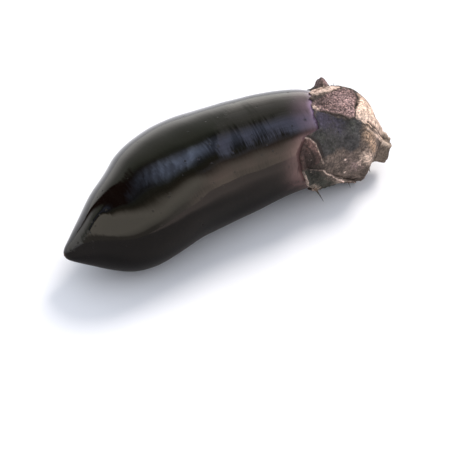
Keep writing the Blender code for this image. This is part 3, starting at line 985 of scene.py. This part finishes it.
class StageLook(bpy.types.PropertyGroup):
    floor_colour: paint("Floor", "Plain pale floor", (0.9, 0.9, 0.92))
    # Painted reflection: what the skin mirrors of the floor in front, a painted shadow toward the tip and a
    # warm glow beside the stem.
    painted_floor_reflection: paint("Mirrored floor", "Floor in front, as the skin mirrors it", (0.34, 0.32, 0.31))
    painted_floor_reflection_stemward: paint("Mirrored at the stem", "The same beside the stem", (1.0, 0.84, 0.76))
    floor_size: number("Floor size", "Width of the floor", 12.0, unit="LENGTH")
    room_colour: paint("Room light", "Soft light from all around", (0.86, 0.90, 0.98))
    key_power: number("Key light", "Light from behind", 2.5, min=0)
    key_colour: paint("Key colour", "Colour of the key light", (1.0, 0.93, 0.86))
    key_spread: bearing("Key spread", "Wider is softer", 24)
    key_turn: bearing("Key turn", "Compass angle from +X", 28)
    key_height: bearing("Key height", "Angle above the floor", 43)
    camera_turn: bearing("Camera turn", "Angle from the front toward -X", 28.28)
    camera_height: bearing("Camera height", "Angle above the floor", 40)
    camera_reach: number("Camera distance", "From the point that it looks at", 1.0, unit="LENGTH")
    camera_lens: number("Lens", "Focal length on a 36 mm sensor", 143.53, unit="CAMERA")
    camera_aim: bpy.props.FloatVectorProperty(
        name="Camera aim", description="Point it looks at", subtype="XYZ", default=(-0.0064, -0.0086, 0)
    )


def heading(turn, height):
    return Vector((math.cos(height) * math.cos(turn), math.cos(height) * math.sin(turn), math.sin(height)))


# What the skin mirrors, from the floor in front (0 degrees) over the top (90) to the back (180).
BODY_STRIPS = (
    (0, (0.9, 0.84, 0.74)), (8, (1.15, 1.07, 0.92)), (18, (1.9, 1.77, 1.5)), (26, (2.35, 2.15, 1.82)),
    (32, (2.35, 2.15, 1.82)), (38.5, (1.8, 1.62, 1.35)), (47, (0.5, 0.44, 0.32)), (52, (0.24, 0.23, 0.16)),
    (59, (0.24, 0.27, 0.2)), (65, (0.6, 0.72, 0.85)), (73, (1.5, 1.8, 2.5)), (81, (1.9, 2.3, 3.3)),
    (88, (1.75, 2.1, 2.9)), (95, (1.1, 1.25, 1.6)), (101, (0.32, 0.38, 0.33)), (106, (0.3, 0.36, 0.27)),
    (116, (0.6, 0.66, 0.52)), (146, (0.87, 0.89, 0.8)), (156, (1.3, 1.28, 1.2)), (168, (2.0, 1.96, 1.88)),
    (180, (2.0, 1.97, 1.92)),
)
NECK_STRIPS = (
    (0, (2.9, 2.3, 1.9)), (14, (3.1, 2.4, 2.08)), (28, (2.3, 1.8, 1.55)), (36, (1.3, 1.0, 0.85)),
    (43, (0.55, 0.4, 0.34)), (50, (1.0, 1.05, 1.3)), (58, (1.7, 1.85, 2.6)), (80, (1.6, 1.7, 2.45)),
    (92, (1.3, 1.3, 1.6)), (100, (1.0, 1.0, 1.0)), (108, (0.75, 0.76, 0.68)), (116, (0.85, 0.85, 0.75)),
    (130, (1.1, 1.08, 1.0)), (146, (1.35, 1.3, 1.2)), (156, (1.9, 1.8, 1.7)), (168, (2.6, 2.5, 2.35)),
    (180, (2.3, 2.25, 2.2)),
)
# How bright the strip overhead is along the fruit: place (-1 past the tip to 1 past the stem) and share.
CURTAIN = (
    (-0.36, 0.16), (-0.28, 0.22), (-0.06, 0.45), (0.10, 0.9), (0.27, 1.05), (0.37, 1.3), (0.45, 1.1),
    (0.483, 0.9), (0.51, 0.45), (0.545, 0.38), (0.562, 0.5), (0.567, 0.3), (0.571, 0.2), (0.575, 0.55),
    (0.581, 0.85), (0.6, 1.0),
)
# Where the strips sink toward the floor: from which place toward the tip, and by how many degrees to 1 of it.
SINKING = ((0.2, 30), (-0.3, 28), (-0.74, 520))


def studio_sky(look):
    """Plain room light, which the skin mirrors as long strips beside the fruit, white at the horizon.
    x runs from -1 past the tip to 1 past the stem, and turn from 0 at the floor in front to 180 behind."""
    world = bpy.data.worlds.new("studio_sky")
    world.use_nodes = True
    bpy.context.scene.world = world
    nodes = Recipe(world.node_tree)
    x, y, z = nodes.parts(nodes.add("ShaderNodeTexCoord", "Generated"))
    turn = z.math("ARCTAN2", y * -1) * math.degrees(1)
    sinks = [(x - start).at_most(0) * steepness for start, steepness in SINKING]
    sunk = (sinks[0] + sinks[1] + sinks[2]) * turn.span(165, 120)
    turn = (turn + sunk).at_least(turn.at_most(24))
    half_turns = turn * (1 / 180)
    beside_body = nodes.ramp(half_turns, [(place / 180, tone) for place, tone in BODY_STRIPS])
    beside_neck = nodes.ramp(half_turns, [(place / 180, tone) for place, tone in NECK_STRIPS])
    stemward = x + (half_turns - 0.472) * 0.234
    neckward = (stemward + turn.span(104, 118) * 0.03).span(0.56, 0.61)
    low_neckward = x.span(0.5, 0.68)
    neckward = nodes.blend(turn.span(54, 44), neckward, low_neckward)
    # The curtain overhead, with folds and threads that show beside the body.
    stretched = stemward + (stemward - 0.46).at_least(0) * 5
    hanging = nodes.add("ShaderNodeCombineXYZ", "Vector", {"X": stretched, "Y": half_turns * 0.15})
    folds = nodes.noise(hanging, 21, 1).span(0.36, 0.64, 0.7, 1.3)
    threads = nodes.noise(hanging, 80, 1).span(0.34, 0.66, 0.72, 1.28)
    woven = nodes.blend(stemward.span(0.568, 0.582), folds * threads, (1, 1, 1))
    curtain = nodes.ramp(stemward * 0.5 + 0.5, [((place + 1) / 2, (share,) * 3) for place, share in CURTAIN])
    overhead = turn.span(57, 65) * turn.span(109, 98)
    curtain = nodes.blend(overhead, (1, 1, 1), curtain.tinted(woven))
    # Level slats, which show beside the neck.
    lying = nodes.add("ShaderNodeCombineXYZ", "Vector", {"X": x * 0.1, "Y": half_turns})
    slats = nodes.noise(lying, 90, 1).span(0.3, 0.7, 0.82, 1.2)
    slats = nodes.blend(turn.span(46, 54), (1, 1, 1), slats)
    lit = nodes.blend(neckward, beside_body.tinted(curtain), beside_neck.tinted(slats))
    # A dark corner toward the tip.
    corner = (turn + (x + 0.36) * 288).span(140, 126) * turn.span(56, 64)
    corner = corner * x.span(-0.29, -0.36) * x.span(-0.70, -0.58)
    lit = nodes.blend(corner, lit, (0.06, 0.02, 0.012))
    horizon = z.span(0.22, 0.12) * turn.span(108, 72)
    glow = nodes.blend(x.span(0.1, 0.5), (0.68, 0.63, 0.55), (1.25, 1.15, 1.02))
    glow = nodes.blend(low_neckward, glow, (2.7, 2.2, 1.85))
    mirrored = nodes.add("ShaderNodeLightPath", "Is Glossy Ray")
    room = nodes.blend(mirrored, look.room_colour, nodes.blend(horizon, lit, glow))
    background = nodes.add("ShaderNodeBackground", "Background", {"Color": room, "Strength": 1.0})
    nodes.add("ShaderNodeOutputWorld", None, {"Surface": background})


def floor_finish(look):
    """Pale paper with a painted reflection: the skin mirrors it darker in front, as a painted shadow, and
    warm beside the stem.
    """
    nodes = Finish("floor_paper")
    x, y, _ = nodes.parts(nodes.place)
    paper = nodes.noise(nodes.place, 30).span(0.3, 0.7, 0.985, 1.0).tinted(look.floor_colour)
    # Painted reflection: glossy rays see these colours on the floor in front.
    seen = nodes.blend(x.span(0.02, 0.12), look.painted_floor_reflection, look.painted_floor_reflection_stemward)
    mirrored = nodes.add("ShaderNodeLightPath", "Is Glossy Ray") * y.span(0.06, 0.0)
    return nodes.surface(nodes.blend(mirrored, paper, seen), 0.9, **{"Specular IOR Level": 0.2})


def set_stage(look):
    half = look.floor_size / 2
    mesh = bpy.data.meshes.new("floor")
    corners = [(-half, -half, 0), (half, -half, 0), (half, half, 0), (-half, half, 0)]
    mesh.from_pydata(corners, [], [(0, 1, 2, 3)])
    mesh.materials.append(floor_finish(look))
    floor = stand_in_scene("floor", mesh)
    floor.location.z = -FLOOR_GAP
    studio_sky(look)
    key = bpy.data.lights.new("key_light", "SUN")
    key.energy, key.color, key.angle = look.key_power, look.key_colour, look.key_spread
    lamp = stand_in_scene("key_light", key)
    lamp.rotation_euler = heading(look.key_turn, look.key_height).to_track_quat("Z", "Y").to_euler()
    lamp.visible_glossy = False
    camera = bpy.data.cameras.new("camera")
    camera.lens, camera.sensor_width, camera.clip_end = look.camera_lens, 36, 50
    eye = stand_in_scene("camera", camera)
    away = heading(-math.pi / 2 - look.camera_turn, look.camera_height)
    eye.location = Vector(look.camera_aim) + away * look.camera_reach
    eye.rotation_euler = away.to_track_quat("Z", "Y").to_euler()
    bpy.context.scene.camera = eye
    bpy.context.scene.view_settings.view_transform = "Standard"
    bpy.context.scene.view_settings.look = "None"


class EGGPLANT_OT_fruit(bpy.types.Operator):
    """Grows the fruit with its glossy skin"""

    bl_idname = "eggplant.fruit"
    bl_label = "Fruit"

    def execute(self, context):
        grow_fruit(context.scene.eggplant_fruit)
        return {"FINISHED"}


class EGGPLANT_OT_calyx(bpy.types.Operator):
    """Grows the calyx with its folded sepals"""

    bl_idname = "eggplant.calyx"
    bl_label = "Calyx"

    def execute(self, context):
        grow_calyx(context.scene.eggplant_calyx)
        return {"FINISHED"}


class EGGPLANT_OT_prickles(bpy.types.Operator):
    """Grows the prickles on the calyx"""

    bl_idname = "eggplant.prickles"
    bl_label = "Prickles"

    def execute(self, context):
        grow_prickles(context.scene.eggplant_calyx)
        return {"FINISHED"}


class EGGPLANT_OT_stem(bpy.types.Operator):
    """Grows the cut stem"""

    bl_idname = "eggplant.stem"
    bl_label = "Stem"

    def execute(self, context):
        grow_stem(context.scene.eggplant_stem)
        return {"FINISHED"}


class EGGPLANT_OT_stage(bpy.types.Operator):
    """Sets the floor, the light and the camera"""

    bl_idname = "eggplant.stage"
    bl_label = "Stage"

    def execute(self, context):
        set_stage(context.scene.eggplant_stage)
        return {"FINISHED"}


OPERATORS = (EGGPLANT_OT_fruit, EGGPLANT_OT_calyx, EGGPLANT_OT_prickles, EGGPLANT_OT_stem, EGGPLANT_OT_stage)
LOOKS = {
    "eggplant_fruit": FruitLook,
    "eggplant_calyx": CalyxLook,
    "eggplant_stem": StemLook,
    "eggplant_stage": StageLook,
}


class EGGPLANT_PT_sidebar(bpy.types.Panel):
    """The eggplant's pieces, with their sizes and colours"""

    bl_label = "Eggplant"
    bl_space_type = "VIEW_3D"
    bl_region_type = "UI"
    bl_category = "Eggplant"

    def draw(self, context):
        for operator in OPERATORS:
            self.layout.operator(operator.bl_idname)
        for name, look in LOOKS.items():
            box = self.layout.box()
            for field in look.__annotations__:
                box.prop(getattr(context.scene, name), field)


def register():
    for kind in (*LOOKS.values(), *OPERATORS, EGGPLANT_PT_sidebar):
        bpy.utils.register_class(kind)
    for name, look in LOOKS.items():
        setattr(bpy.types.Scene, name, bpy.props.PointerProperty(type=look))


def unregister():
    for name in LOOKS:
        delattr(bpy.types.Scene, name)
    for kind in (EGGPLANT_PT_sidebar, *reversed(OPERATORS), *reversed(LOOKS.values())):
        bpy.utils.unregister_class(kind)


def main():
    register()
    bpy.ops.eggplant.fruit()
    bpy.ops.eggplant.calyx()
    bpy.ops.eggplant.prickles()
    bpy.ops.eggplant.stem()
    bpy.ops.eggplant.stage()


if __name__ == "__main__":
    main()
